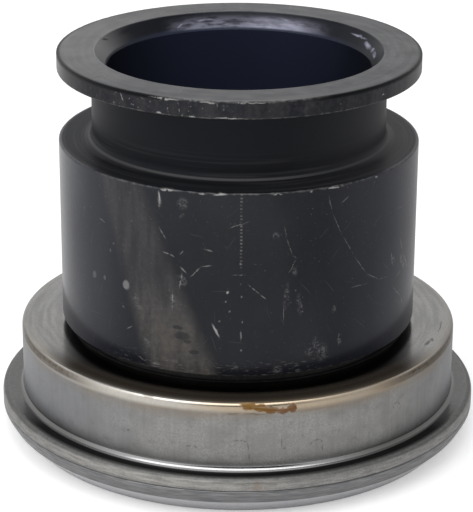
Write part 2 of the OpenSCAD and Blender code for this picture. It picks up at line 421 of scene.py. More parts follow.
# Chips and nicks on the flange's rim
FLANGE_CHIPS = [
    (0.35, (-27.5, 76.5), (-16.5, 76.5)),
    (0.50, (-24.0, 76.4), (-20.5, 76.4)),
    (0.30, (-15.0, 76.5), (-6.0, 76.5)),
    (0.45, (-9.0, 76.4), (-7.0, 76.4)),
    (0.25, (-3.0, 76.5), (12.0, 76.5)),
    (0.40, (-2.0, 76.5), (4.0, 76.5)),
    (0.50, (-25.0, 73.8), (-23.0, 73.8)),
    (0.40, (-15.5, 73.7), (-12.5, 73.7)),
    (0.30, (-8.0, 73.7), (2.0, 73.7)),
    (0.25, (-37.5, 76.2), (-36.5, 74.6)),
    (0.25, (-18.0, 76.2), (-17.5, 74.2)),
    (0.40, (31.0, 74.8), (31.5, 75.2)),
    (0.40, (48.0, 74.6), (49.0, 74.8)),
]
# Grease in the mouth of the bore: angles are 0 at the back and grow to the right
GREASE_STROKES = [
    (0.5, (-29.5, 74.4), (-25.0, 75.2)),
    (0.6, (-21.0, 75.3), (-10.0, 75.5)),
    (0.6, (16.0, 75.8), (28.0, 75.5)),
    (1.1, (67.0, 75.2), (76.0, 75.0), (80.0, 74.9), (87.0, 74.6)),
    (0.5, (55.0, 75.7), (68.0, 75.8)),
]
# Dark streaks in the mouth, by the same angles
MOUTH_STREAKS = [
    (1.3, (-62.0, 75.8), (-45.0, 76.0), (-26.0, 76.1)),
    (0.9, (40.0, 76.6), (52.0, 76.6), (66.0, 76.5)),
    (0.5, (-76.0, 76.6), (-70.5, 75.8)),
    (0.4, (80.0, 76.2), (88.0, 75.6)),
]
# Pale dried spots on the barrel: angle, height, width, height of the spot
BRIGHT_DROP = [(-36.5, 39.0, 2.0, 2.3)]
BARREL_SPOTS = [
    (-50.7, 38.7, 1.5, 1.8),
    (-45.7, 39.0, 0.9, 1.0),
    (-41.4, 46.5, 0.6, 0.6),
    (-42.8, 44.9, 0.6, 0.8),
    (-37.7, 34.5, 0.6, 0.6),
]
# Scuffs on the shell's top: width, then angles and radii
TOP_SCUFFS = [
    (1.0, (66.0, 39.5), (71.5, 40.0)),
    (0.7, (70.0, 40.5), (72.5, 40.0)),
    (0.4, (76.0, 40.5), (86.0, 41.0)),
]
# Rust on the shell's top corner
CORNER_RUST = [
    (2.6, (0.5, 21.4), (5.0, 21.3)),
    (2.0, (3.0, 21.0), (8.0, 20.7)),
    (1.6, (6.0, 20.5), (11.0, 20.1)),
    (1.6, (9.0, 20.1), (13.5, 20.0)),
    (2.4, (12.0, 20.6), (15.0, 20.4)),
]
# A tinge of rust on the rim
RIM_RUST = [
    (4.5, 7.0, 2.4, 2.4),
    (6.5, 6.6, 1.0, 0.8),
]
# Tide marks that water left on the shell's wall
WALL_STAINS = [
    (0.40, (-1.0, 14.2), (0.5, 14.4), (1.5, 14.4), (2.5, 13.9), (3.0, 12.0), (3.0, 10.0)),
    (0.40, (18.0, 12.5), (19.0, 13.3), (21.0, 13.4), (21.5, 12.5), (21.5, 10.8)),
    (0.35, (43.0, 15.4), (43.0, 16.4), (44.5, 16.7), (45.5, 15.6), (45.5, 14.7)),
    (0.40, (-3.0, 19.7), (1.0, 19.8), (8.0, 19.5)),
    (0.35, (-13.0, 12.5), (-11.0, 12.9), (-9.5, 12.4)),
    (0.35, (11.0, 15.0), (11.0, 12.0)),
]
# Dark specks on the wall
WALL_SPECKS = [
    (11.7, 12.4, 0.7, 0.5),
    (16.2, 14.6, 0.5, 0.4),
    (-22.5, 21.6, 2.6, 1.0),
    (-28.0, 14.0, 0.8, 0.5),
]


class SleeveFinish(Finish):
    """Black oxide, rubbed brown and scratched on the barrel, with grease in the mouth."""

    def __init__(self):
        super().__init__("black_oxide_sleeve")
        r, z = self.r, self.z
        self.place = self.shaken(self.unrolled(BARREL_R), grain=0.9, reach=0.4)
        self.broad = self.noise(0.06, detail=3.0, seed=1)
        self.fine = self.noise(1.1, detail=4.0, seed=2)
        self.grit = self.noise(3.2, detail=2.0, seed=3)
        self.rings = self.turning(3.0)
        self.swept = self.noise((1.2, 0.0, 0.05), detail=4.0, seed=12, place=self.ringwise)
        outer = r.ramp(BARREL_R - 0.8, BARREL_R - 0.4)
        self.barrel = outer * z.ramp(SHOULDER_Z + 0.2, SHOULDER_Z - 0.1)
        self.rim = outer * z.ramp(FLANGE_Z - 0.4, FLANGE_Z)
        self.top = z.ramp(TOP_Z - 0.19, TOP_Z - 0.04)
        self.inside = r.ramp(BORE_R + 0.75, BORE_R + 0.25)
        conical = r.ramp(BORE_R + 0.15, BORE_R + 0.45) * r.ramp(MOUTH_R + 0.35, MOUTH_R - 0.25)
        self.mouth = conical * z.ramp(MOUTH_Z - 0.4, MOUTH_Z + 0.1)
        beside_neck = r.ramp(BARREL_R - 0.2, BARREL_R - 0.8) * r.ramp(NECK_R - 0.65, NECK_R - 0.15)
        above_shoulder = z.ramp(SHOULDER_Z - 1.5, SHOULDER_Z - 0.5)
        self.groove = beside_neck * above_shoulder * z.ramp(FLANGE_Z + 0.5, FLANGE_Z + 0.1)

    def oxide(self):
        """The oxide itself: grey on the flange's top, blue at the barrel's sides, and navy in the bore,
        painted on its back wall only as painted light.
        """
        pale = self.broad.ramp(0.35, 0.7) * 0.6 + self.fine.ramp(0.4, 0.8) * 0.4
        patch = self.noise(0.22, detail=5.0, seed=13).ramp(0.35, 0.65)
        rubbed = self.swept.ramp(0.3, 0.75) * 0.4 + patch * 0.5 + self.around(-95, 70, 0) * 0.55
        colour = self.mix(OXIDE, OXIDE_PALE, pale)
        colour = self.mix(colour, WORN_OXIDE, self.top * rubbed * 0.85)
        colour = self.mix(colour, DUST, self.mouth * self.around(-80, 48, 15) * 0.7)
        colour = self.mix(colour, OXIDE_BLUE, self.barrel * self.around(0, 15, 60))
        # The bore's navy goes on its back wall only: painted light where the inside of the bore is lit
        return self.mix(colour, LIT_BORE_NAVY, self.inside * self.around(0, 95, 165))

    def grooved(self, colour):
        """The groove's softer black, with lathe lines low on the neck and a painted highlight along the
        fillet at its foot, strongest at the front left.
        """
        low = self.z.ramp(SHOULDER_Z + 6.5, SHOULDER_Z + 2.0)
        lines = self.turning(2.0, seed=5).ramp(0.5, 0.65) * low * 0.4
        # The fillet where the neck meets the shoulder, which gets a painted highlight
        root = self.edge(NECK_R + 0.6, SHOULDER_Z + 0.6, 0.5)
        colour = self.mix(colour, GROOVE_BLACK, self.groove * self.around(0, 80, 30))
        colour = self.mix(colour, WORN_OXIDE, self.groove * self.angle.ramp(10, 70) * 0.42)
        # The lathe lines, and the fillet's painted highlight
        colour = self.mix(colour, WORN_OXIDE, self.groove * lines.most(root))
        return self.mix(colour, DUST, root * self.around(-8, 50, 10) * 0.2)

    def band(self):
        """Rubbed band that leans from the upper left to the lower middle of the barrel."""
        fall = BAND_TOP_Z - self.z
        lean = abs(self.angle - BAND_ANGLE - fall * 0.6) - fall * 0.08
        streak = self.noise((0.5, 0.5, 0.09), detail=5.0, seed=4).ramp(0.3, 0.62)
        blots = self.spots(self.place, BARREL_R, BAND_BLOTS)
        ragged = (0.5 + streak * 0.5) * (0.5 + self.fine * 0.6)
        return lean.ramp(11.0, 5.0) * self.barrel * ragged * (0.8 + fall * 0.01 - blots * 0.7)

    def hazed(self, colour):
        """Haze of rubbed oxide on the flange's rim, in patches, with pale specks at its left."""
        patch = self.noise((0.35, 0.35, 0.05), detail=3.0, seed=5).ramp(0.4, 0.65)
        haze = patch * 0.2 + self.fine.ramp(0.35, 0.65) * 0.14
        speck = self.noise((1.6, 1.6, 2.2), detail=2.0, seed=6).ramp(0.62, 0.72)
        colour = self.mix(colour, SMEAR_BROWN, self.rim * haze)
        return self.mix(colour, DUST, speck * self.rim * (0.08 + self.around(-24, 30, 8) * 0.6))

    def greased(self, colour):
        """Grease wiped round the back of the mouth: a film, thicker strokes and dark streaks."""
        behind, z = self.behind, self.z
        place = self.shaken(self.unrolled(MOUTH_R, behind), grain=0.7, reach=0.6, seed=7)
        around = self.start.joined(behind, z, 0.0)
        brushed = self.noise((0.16, 1.6, 0.0), detail=4.0, seed=15, place=around).ramp(0.3, 0.62)
        reach = behind.ramp(-38, -18) * behind.ramp(46, 26) * z.ramp(TOP_Z - 0.2, TOP_Z - 2.2)
        film = reach * (0.06 + brushed * 0.3 + abs(behind - 17).ramp(16, 5) * 0.28)
        strokes = self.marks(place, MOUTH_R, GREASE_STROKES) * (0.12 + brushed * 0.35)
        colour = self.mix(colour, OXIDE, self.marks(place, MOUTH_R, MOUTH_STREAKS) * self.mouth)
        return self.mix(colour, GREASE, strokes.most(film) * self.mouth)

    def dusted(self, colour):
        """Pale dust on the barrel: smudges, motes, scrapes at its lower edge, and dried drops."""
        scuff = self.marks(self.place, BARREL_R, BARREL_SCUFFS) * (self.fine + self.grit).ramp(0.85, 1.2)
        motes = self.noise(2.4, detail=1.0, seed=16).ramp(0.7, 0.78)
        low = self.z.ramp(BARREL_Z + 4.0, BARREL_Z + 1.0)
        scraped = self.noise((0.8, 0.8, 2.6), detail=3.0, seed=17).ramp(0.56, 0.68)
        scraped = scraped * low * self.around(-8, 42, 24)
        dust = (scuff * 0.4).most(motes * 0.2).most(scraped * 0.42)
        drop = self.spots(self.place, BARREL_R, BRIGHT_DROP) * (0.4 + self.fine * 0.8)
        dried = (self.spots(self.place, BARREL_R, BARREL_SPOTS) * 0.3).most(drop)
        colour = self.mix(colour, DUST, dust * self.barrel)
        return self.mix(colour, DUST, dried * self.barrel)

    def edge_wear(self):
        """Where the edges are worn through in patches, and where the flange's upper one stays black."""
        edges = self.edge(BARREL_R, SHOULDER_Z, WEAR_REACH)
        for radius, height in ((FLANGE_R, TOP_Z), (FLANGE_R, FLANGE_Z), (BARREL_R, BARREL_Z)):
            edges = edges.most(self.edge(radius, height, WEAR_REACH))
        kept = self.edge(FLANGE_R, TOP_Z, 0.9) * self.around(0, 14, 30)
        worn = edges * self.noise(0.9, detail=4.0, seed=8).ramp(0.35, 0.8)
        return worn * (1 - kept) * (1 - self.around(0, 30, 50) * 0.7), kept

    def bare_steel(self, smear, worn):
        """Where the steel shows: scratches, cuts, chips, a row of ticks, worn edges and fine lines."""
        place, fine = self.place, self.fine
        cut = self.marks(place, BARREL_R, BARREL_SCRATCHES) * 0.36
        cut = cut.most(self.marks(place, BARREL_R, RIGHT_SCRATCHES) * 0.22)
        cut = cut * (self.grit + fine).ramp(0.75, 1.1)
        cut = cut.most(self.marks(place, BARREL_R, DEEP_CUTS) * 0.7) * self.barrel
        chips = self.marks(place, BARREL_R, SHOULDER_CHIPS + FLANGE_CHIPS) * fine.ramp(0.34, 0.52)
        chips = chips * self.r.ramp(BARREL_R - 1.0, BARREL_R - 0.6)
        step = abs((self.z / TICK_PITCH).math("FRACT") - 0.5)
        ticks = self.around(TICK_ANGLE, 0.5, 0.15) * step.ramp(0.34, 0.12) * fine.ramp(0.3, 0.6)
        ticks = ticks * self.z.ramp(TICK_Z, TICK_Z + 3.0) * self.barrel
        fleck = self.noise((1.3, 1.3, 2.6), detail=2.0, seed=10).ramp(0.64, 0.74) * smear
        hair = self.hairlines(place, size=5.0, share=0.5, seed=1) * self.barrel * self.around(0, 179, 174)
        hair = hair.most(self.hairlines(self.spot, size=3.5, share=0.8, seed=3) * self.top * 2.0)
        bare = cut.most(chips * 0.72).most(ticks * 0.28).most(worn * 0.24)
        return bare.most(hair * 0.07).most(fleck * 0.12)

    def oil(self):
        """How much oil lies on the barrel, the flange's rim and its top."""
        wiped = self.noise((0.14, 0.14, 0.04), detail=5.0, seed=14)
        high = self.z.ramp(SHOULDER_Z - 13.5, SHOULDER_Z - 1.5)
        on_barrel = 0.2 + wiped * 0.28 + high * 0.08 + self.around(-84, 30, 6) * 0.16
        on_rim = 0.3 - self.around(-52, 26, 6) * 0.18
        on_top = 0.11 + self.swept * 0.28 + self.around(-95, 70, 0) * 0.14
        return 0.01 + self.barrel * on_barrel + self.rim * on_rim + self.top * on_top

    def finished(self):
        """The whole material, from the oxide up to the steel that shows through it."""
        smear = self.band()
        worn, kept = self.edge_wear()
        bare = self.bare_steel(smear, worn)
        brown = self.mix(SMEAR_BROWN, SMEAR_TAN, self.z.ramp(44, 28) * (0.35 + self.fine * 0.6))
        colour = self.mix(self.grooved(self.oxide()), brown, smear)
        colour = self.greased(self.hazed(colour))
        colour = self.dusted(self.mix(colour, KEPT_BLACK, kept))
        colour = self.mix(colour, BARE_STEEL, bare)
        rough = 0.27 + self.broad * 0.08 + self.fine * 0.06 + self.rings * 0.05 + self.groove * 0.1
        sockets = {
            "Base Color": colour,
            "Roughness": rough.towards(0.45, smear).towards(0.36, bare),
            "Metallic": bare * 0.8,
            "IOR": 1.24,
            "Specular Tint": (0.82, 0.88, 1.0, 1),
            "Coat Weight": self.oil() * (1 - kept) * (1 - smear * 0.6),
            "Coat Roughness": 0.17,
            "Coat IOR": 1.5,
        }
        return self.surface(sockets, self.rings * 0.7 + self.grit * 0.3, depth=0.012)


class ShellFinish(Finish):
    """Bare pressed sheet: tan film, rust and a painted highlight at the top corner, painted shade on the
    top's front, water stains on the wall, and grime and painted shade on the rim.
    """

    def __init__(self):
        super().__init__("pressed_sheet_shell")
        r, z = self.r, self.z
        self.flat = self.unrolled(SHELL_R)
        self.place = self.shaken(self.flat, grain=0.8, reach=0.5)
        self.broad = self.noise((0.05, 0.05, 0.12), detail=3.0, seed=1)
        self.drawn = self.noise((1.3, 1.3, 0.07), detail=5.0, seed=2)
        self.fine = self.noise(1.3, detail=4.0, seed=3)
        self.level = self.noise((0.05, 0.05, 3.0), detail=3.0, seed=4)
        self.streaks = self.noise((0.3, 0.3, 2.0), detail=5.0, seed=10).ramp(0.25, 0.75)
        self.wall = z.ramp(RIM_Z + 0.6, RIM_Z + 0.85) * z.ramp(SHELL_Z - 0.5, SHELL_Z - 0.8)
        self.outer = r.ramp(SHELL_R - 1.0, SHELL_R - 0.6)
        self.top = z.ramp(SHELL_Z - 0.4, SHELL_Z - 0.1)
        # The top's front: an oil stain, with painted shade for the shadow and the barrel's dark reflection
        # there
        self.oil_and_shade = self.top * self.around(0, 68, 48)
        # A near-black ring on the top's front, as painted shade
        ring = r.ramp(SHELL_R - 5.7, SHELL_R - 2.2) * r.ramp(SHELL_R - 0.6, SHELL_R - 1.0)
        self.burnt_oil_and_shade = self.oil_and_shade * ring
        self.rim_top = r.ramp(SHELL_R + 0.55, SHELL_R + 0.75) * z.ramp(RIM_Z - 0.65, RIM_Z - 0.25)
        at_front = 0.15 + self.around(0, 76, 55) * 0.85
        # Grime with painted shade: the rim's top is painted dark near the wall, most at the front
        self.rim_grime_and_shade = self.rim_top * r.ramp(RIM_R - 0.4, RIM_R - 1.8) * at_front

    def sheet(self):
        """The sheet itself: dull in blotches, drawn upright and pitted on the wall, bluish at its sides."""
        blotch = self.noise((0.16, 0.16, 0.2), detail=5.0, seed=6).ramp(0.35, 0.65)
        grain = self.noise(3.0, detail=3.0, seed=7).ramp(0.4, 0.65)
        pits = self.noise((0.45, 0.45, 0.6), detail=6.0, seed=9, rough=0.62).ramp(0.5, 0.72)
        dull = self.drawn.ramp(0.35, 0.7) * 0.2 + blotch * 0.8
        dark = (pits * 0.32).most(self.drawn.ramp(0.45, 0.75) * 0.12)
        colour = self.mix(SHEET, SHEET_DULL, dull * self.wall)
        colour = self.mix(colour, SHEET_DULL, grain * 0.7)
        colour = self.mix(colour, SHEET_BLUE, self.wall * self.around(12, 22, 70) * 0.8)
        return self.mix(colour, SHEET_PIT, self.wall * dark)

    def rimmed(self, colour):
        """The rim's top, dull with grime and darkened by painted shade, and the crease at the wall's foot,
        with a painted highlight at the front and painted shade at its sides.
        """
        crease = self.z.ramp(RIM_Z + 1.2, RIM_Z + 0.7) * self.r.ramp(SHELL_R + 1.2, SHELL_R + 0.7)
        aside = self.around(-4, 18, 48)
        # The rim's top is painted dull: partly duller steel, partly painted shade where its edge's
        # highlight would fall
        colour = self.mix(colour, RIM_DULL_AND_SHADE, self.rim_top * (0.6 + self.fine * 0.6))
        colour = self.mix(colour, GRIME_AND_SHADE, self.rim_grime_and_shade)
        # The crease: a painted highlight at the front and painted shade at its sides
        colour = self.mix(colour, BEARING_DULL, crease * (1 - aside) * 0.65)
        return self.mix(colour, RIM_DULL_AND_SHADE, crease * aside * 0.85)

    def oiled_and_lit(self, colour):
        """Oil on the top's front, darkened there with a near-black ring as painted shade, tan film round
        the corner in patches, and a painted highlight on the corner itself.
        """
        r, z = self.r, self.z
        patch = self.noise((0.10, 0.10, 0.5), detail=4.0, seed=5).ramp(0.35, 0.65)
        near_corner = z.ramp(SHELL_Z - 4.2, SHELL_Z - 1.1) * r.ramp(SHELL_R - 3.0, SHELL_R - 1.0)
        film = near_corner * (0.3 + patch * 0.7) * self.around(0, 95, 40)
        # The corner's bright line is a painted highlight, strongest at the front and tan from there to the
        # right
        corner = self.edge(SHELL_R - 0.2, SHELL_Z - 0.3, 2.0)
        bright = self.mix(HIGHLIGHT_STEEL, CORNER_HIGHLIGHT_TAN, self.angle.ramp(-18, -2))
        rubbed = corner * (0.1 + self.around(-10, 75, 15) * 0.9) * (0.7 + self.fine * 0.5)
        # Brown oil and a near-black ring on the top's front: partly stain, partly painted shade
        colour = self.mix(colour, OIL_BROWN_AND_SHADE, self.oil_and_shade * r.ramp(SHELL_R - 0.6, SHELL_R - 3.2) * 0.9)
        colour = self.mix(colour, SHEET_TAN, film * 0.8)
        colour = self.mix(colour, bright, rubbed)
        return self.mix(colour, BURNT_OIL_AND_SHADE, self.burnt_oil_and_shade * 0.9)

    def tarnished(self, colour):
        """The top's sides: a brown line low on the corner, grey arcs, and dark scuffs at the right."""
        low_corner = self.edge(SHELL_R, SHELL_Z - 0.5, 1.1)
        sides = self.around(0, 32, 52) * self.around(0, 92, 72)
        arcs = self.noise((0.9, 0.0, 0.06), detail=4.0, seed=11, place=self.ringwise)
        grey = self.top * self.around(0, 48, 66) * (0.15 + arcs.ramp(0.35, 0.65) * 0.4)
        across = self.shaken(self.unrolled(SHELL_R, up=self.r), grain=1.1, reach=0.8, seed=8)
        scuffed = self.marks(across, SHELL_R, TOP_SCUFFS) * self.top
        colour = self.mix(colour, SIDE_BROWN, low_corner * sides * (0.5 + self.fine * 0.6))
        colour = self.mix(colour, SHEET_PIT, grey)
        return self.mix(colour, GRIME_AND_SHADE, scuffed * 0.7)

    def rim_streaks_and_highlight(self, colour):
        """Streaks of grime on the rim's outer edge, and a painted highlight low on its rounded edge,
        strongest at the front left.
        """
        outside = self.r.ramp(RIM_R - 0.8, RIM_R - 0.2)
        edge = outside * self.z.ramp(RIM_Z - 0.2, RIM_Z - 0.7) * self.z.ramp(SEAM_Z + 0.3, SEAM_Z + 0.9)
        colour = self.mix(colour, GRIME_AND_SHADE, outside * (1 - self.streaks) * 0.35)
        # Painted highlight on the rim's rounded edge
        return self.mix(colour, HIGHLIGHT_STEEL, edge * self.around(-15, 50, 0) * (0.15 + self.streaks * 0.3))

    def rust(self):
        """Where rust lies on the front of the corner."""
        ragged = self.shaken(self.flat, grain=1.1, reach=1.1, seed=4)
        rust = (self.marks(ragged, SHELL_R, CORNER_RUST) * (0.45 + self.fine * 1.1)).ramp(0.05, 0.6)
        return rust * self.outer * self.z.ramp(SHELL_Z - 3.7, SHELL_Z - 2.7)

    def stained(self, colour, rust):
        """Water marks and level scratches on the wall, and the rust, golden at its left end."""
        stain = self.marks(self.place, SHELL_R, WALL_STAINS)
        stain = stain.most(self.spots(self.place, SHELL_R, WALL_SPECKS)) * self.outer
        on_rim = self.shaken(self.unrolled(RIM_R), grain=1.1, reach=1.0, seed=5)
        tinged = self.spots(on_rim, RIM_R, RIM_RUST) * self.r.ramp(RIM_R - 1.1, RIM_R - 0.6)
        share = (rust * (0.65 + self.streaks * 0.5)).least(1.0).most(tinged * 0.25)
        scored = self.level.ramp(0.6, 0.7) * self.wall * self.z.ramp(SHELL_Z - 9.7, SHELL_Z - 3.7)
        colour = self.mix(colour, STAIN_BROWN, stain * 0.45)
        colour = self.mix(colour, self.mix(RUST_GOLD, RUST, self.angle.ramp(4, 12)), share)
        return self.mix(colour, SHEET_DULL, scored * 0.5)

    def finished(self):
        """The whole material, from the sheet up to the stains and the rust on it."""
        rust = self.rust()
        colour = self.oiled_and_lit(self.rimmed(self.sheet()))
        colour = self.rim_streaks_and_highlight(self.tarnished(colour))
        corner = self.edge(SHELL_R - 0.2, SHELL_Z - 0.2, 1.2) * 0.4
        matt = corner.most(self.r.ramp(RIM_R - 1.2, RIM_R - 0.8))
        on_wall = 0.38 + self.drawn * 0.05 + self.broad * 0.08
        rough = (0.16 + self.fine * 0.05).towards(on_wall, self.wall).towards(0.5, matt)
        # Rust and oil, with the painted shade on the top's front and on the rim, are no metal
        dirt_and_shade = rust.most(self.burnt_oil_and_shade * 0.9).most(self.rim_grime_and_shade * 0.9)
        sockets = {
            "Base Color": self.stained(colour, rust),
            "Roughness": rough.towards(0.6, rust),
            "Metallic": 1 - dirt_and_shade,
            "IOR": 1.1,
        }
        return self.surface(sockets, self.drawn * 0.15 + self.level * 0.25 + self.fine * 0.6, depth=0.004)


def ring_finish():
    """Hardened thrust ring, ground, with its lower bevel painted pale as a painted reflection of the floor.
    """
    f = Finish("ground_thrust_ring")
    rings = f.turning(2.5, seed=1)
    worn = f.noise((0.3, 0.3, 3.5), detail=4.0, seed=2)
    fine = f.noise(1.4, detail=4.0, seed=3)
    below = f.z.ramp(TAPER_Z + 0.1, TAPER_Z - 0.1)
    colour = f.mix(GROUND, GROUND_DULL, worn.ramp(0.35, 0.65))
    # The lower bevel's paleness is a painted reflection of the floor under it
    colour = f.mix(colour, BEVEL_REFLECTION_STEEL, below * (0.8 + fine * 0.2))
    sockets = {"Base Color": colour, "Roughness": 0.26 + worn * 0.16 + fine * 0.06, "Metallic": 1.0}
    return f.surface(sockets, rings * 0.6 + worn * 0.4, depth=0.008)


def plain_steel(name, light, dull, rough, grain, shade_from=None):
    """Steel inside the bearing with a light film of oil. From a height on, it can be painted black as
    shade.
    """
    f = Finish(name)
    rings = f.turning(grain, seed=1)
    film = f.noise(0.2, detail=4.0, seed=2)
    fine = f.noise(1.5, detail=3.0, seed=3)
    sockets = {
        "Base Color": f.mix(light, dull, film.ramp(0.35, 0.7)),
        "Roughness": rough + film * 0.12 + fine * 0.05,
        "Metallic": 1.0,
    }
    if shade_from:
        # From that height on, painted black: painted shade in the gap under the barrel
        greased = f.z.ramp(shade_from, shade_from + 0.7) * (0.85 + fine * 0.15)
        sockets["Base Color"] = f.mix(sockets["Base Color"], GAP_SHADE_BLACK, greased)
        sockets["Roughness"] = sockets["Roughness"].towards(0.4, greased)
        sockets["Metallic"] = 1 - greased
    return f.surface(sockets, rings * 0.5 + fine * 0.5, depth=0.006)


def rubber_finish():
    """Moulded rubber of the seals, with a pale bloom."""
    f = Finish("seal_rubber")
    fine = f.noise(2.5, detail=4.0, seed=1)
    bloom = f.noise(0.3, detail=4.0, seed=2)
    colour = f.mix(RUBBER, RUBBER_BLOOM, bloom.ramp(0.4, 0.7))
    return f.surface({"Base Color": colour, "Roughness": 0.55 + bloom * 0.2}, fine, depth=0.02)


def section(corners, span=1.5, hold=0.15, steps=8, outward=0.3):
    """Points round a closed turned section, and how much each one stands on an outer edge.
    A corner is a radius, a height and the radius of its round. The outside goes up.
    Points stand no more than span apart, and hold keeps two of them close to each end.
    A corner without a round is an outer edge if it bends by more than outward, in radians."""
    points = []
    count = len(corners)
    for i, (r, z, around) in enumerate(corners):
        here = Vector((r, z))
        before = (here - Vector(corners[i - 1][:2])).normalized()
        after = (Vector(corners[(i + 1) % count][:2]) - here).normalized()
        bend = math.atan2(before.x * after.y - before.y * after.x, before.dot(after))
        if not around:
            points.append((here, 1.0 if bend > outward else 0.0))
            continue
        side = math.copysign(1.0, bend)
        begin = here - before * around * math.tan(abs(bend) / 2)
        centre = begin + Vector((-before.y, before.x)) * around * side
        for k in range(steps + 1):
            turned = Matrix.Rotation(bend * k / steps, 2) @ (begin - centre)
            points.append((centre + turned, 1.0 if bend > 0 and 0 < k < steps else 0.0))
    filled = []
    for i, (here, weight) in enumerate(points):
        filled.append((here, weight))
        there = points[(i + 1) % len(points)][0]
        run = (there - here).length
        if run > span:
            parts = math.ceil(run / span)
            shares = [hold / run] + [k / parts for k in range(1, parts)] + [1 - hold / run]
            filled += [(here.lerp(there, share), 0.0) for share in shares]
    return filled


def turned_tree():
    """Geometry Nodes that turn a section round the Z axis and nick its outer edges."""
    tree = bpy.data.node_groups.new("turned_piece", "GeometryNodeTree")
    for name, kind in (
        ("Section", "Geometry"),
        ("Turns", "Int"),
        ("Nick depth", "Float"),
        ("Nicks per mm", "Float"),
        ("Seed", "Float"),
        ("Finish", "Material"),
    ):
        tree.interface.new_socket(name, in_out="INPUT", socket_type="NodeSocket" + kind)
    tree.interface.new_socket("Piece", in_out="OUTPUT", socket_type="NodeSocketGeometry")
    start = Field(tree)
    given = start.add("NodeGroupInput").socket.node.outputs
    shape, turns, depth, often, seed, finish = [Field(tree, socket) for socket in given[:6]]

    count = start.add("GeometryNodeAttributeDomainSize", None, {0: shape}, "Point Count")
    counts = {"Vertices X": count + 1, "Vertices Y": turns + 1}
    grid = start.add("GeometryNodeMeshGrid", None, counts, "Mesh")
    index = start.add("GeometryNodeInputIndex")
    # The small addition keeps a whole number from being rounded down to the one before it
    column = (index / (turns + 1) + 0.0001).math("FLOOR")
    row = index - column * (turns + 1)
    place = start.add("GeometryNodeInputPosition")
    weight = start.add("GeometryNodeInputNamedAttribute", {"data_type": "FLOAT"}, {"Name": "edge"})
    picked = column.math("MODULO", count)
    sample = {"Geometry": shape, "Value": place, "Index": picked}
    r, _, z = start.add("GeometryNodeSampleIndex", {"data_type": "FLOAT_VECTOR"}, sample).split()
    sample = {"Geometry": shape, "Value": weight, "Index": picked}
    edge = start.add("GeometryNodeSampleIndex", {"data_type": "FLOAT"}, sample)
    turn = row * math.tau / turns
    where = start.joined(r * turn.math("SINE"), r * turn.math("COSINE") * -1.0, z)
    piece = start.add("GeometryNodeSetPosition", None, {"Geometry": grid, "Position": where})
    stored = {"Geometry": piece, "Name": "edge", "Value": edge}
    piece = start.add("GeometryNodeStoreNamedAttribute", {"data_type": "FLOAT", "domain": "POINT"}, stored)
    piece = start.add("GeometryNodeMergeByDistance", None, {"Geometry": piece, "Distance": 1e-6})
    piece = start.add("GeometryNodeFlipFaces", None, {"Mesh": piece})

    grain = {"Vector": place, "W": seed, "Scale": often / MM, "Detail": 3.0}
    noise = start.add("ShaderNodeTexNoise", {"noise_dimensions": "4D"}, grain)
    nick = noise.ramp(0.54, 0.68) * weight * depth * -MM
    offset = start.add("GeometryNodeInputNormal")
    offset = start.add("ShaderNodeVectorMath", {"operation": "SCALE"}, {0: offset, "Scale": nick})
    piece = start.add("GeometryNodeSetPosition", None, {"Geometry": piece, "Offset": offset})
    piece = start.add("GeometryNodeSetShadeSmooth", {"domain": "FACE"}, {0: piece, "Shade Smooth": True})
    angle = start.add("GeometryNodeInputMeshEdgeAngle", out="Unsigned Angle")
    sharp = {0: piece, "Selection": angle.math("GREATER_THAN", SHARP), "Shade Smooth": False}
    piece = start.add("GeometryNodeSetShadeSmooth", {"domain": "EDGE"}, sharp)
    piece = start.add("GeometryNodeRealizeInstances", None, {0: piece})
    piece = start.add("GeometryNodeSetMaterial", None, {"Geometry": piece, "Material": finish})
    start.add("NodeGroupOutput", None, {"Piece": piece})
    return tree


TURNED = turned_tree()


def turned_piece(name, node, body, corners, material, depth, often, seed):
    """A finished turned piece that stands for a node of the solids.
    Its edges have nicks of that depth, that often to a millimetre."""
    points = section(corners)
    flat = bpy.data.meshes.new(name + "_section")
    flat.from_pydata([(p.x * MM, 0.0, p.y * MM) for p, _ in points], [], [])
    flat.attributes.new("edge", "FLOAT", "POINT").data.foreach_set("value", [w for _, w in points])
    maker = bpy.data.objects.new(name + "_maker", flat)
    bpy.context.scene.collection.objects.link(maker)
    modifier = maker.modifiers.new("turned", "NODES")
    modifier.node_group = TURNED
    inputs = {
        "Turns": TURNS,
        "Nick depth": depth,
        "Nicks per mm": often,
        "Seed": seed,
        "Finish": material,
    }
    for socket in TURNED.interface.items_tree:
        if socket.name in inputs:
            modifier[socket.identifier] = inputs[socket.name]
    bpy.context.view_layer.update()
    graph = bpy.context.evaluated_depsgraph_get()
    mesh = bpy.data.meshes.new_from_object(maker.evaluated_get(graph))
    bpy.data.objects.remove(maker)
    mesh.name = name
    piece = bpy.data.objects.new(name, mesh)
    bpy.context.scene.collection.objects.link(piece)
    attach(piece, body)
    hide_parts(node)


def track(centre, radius, first, last, steps=14):
    """Corners along a ball track, from one angle to another."""
    angles = [math.radians(first + (last - first) * k / steps) for k in range(steps + 1)]
    return [(centre[0] + radius * math.cos(a), centre[1] + radius * math.sin(a), 0) for a in angles]


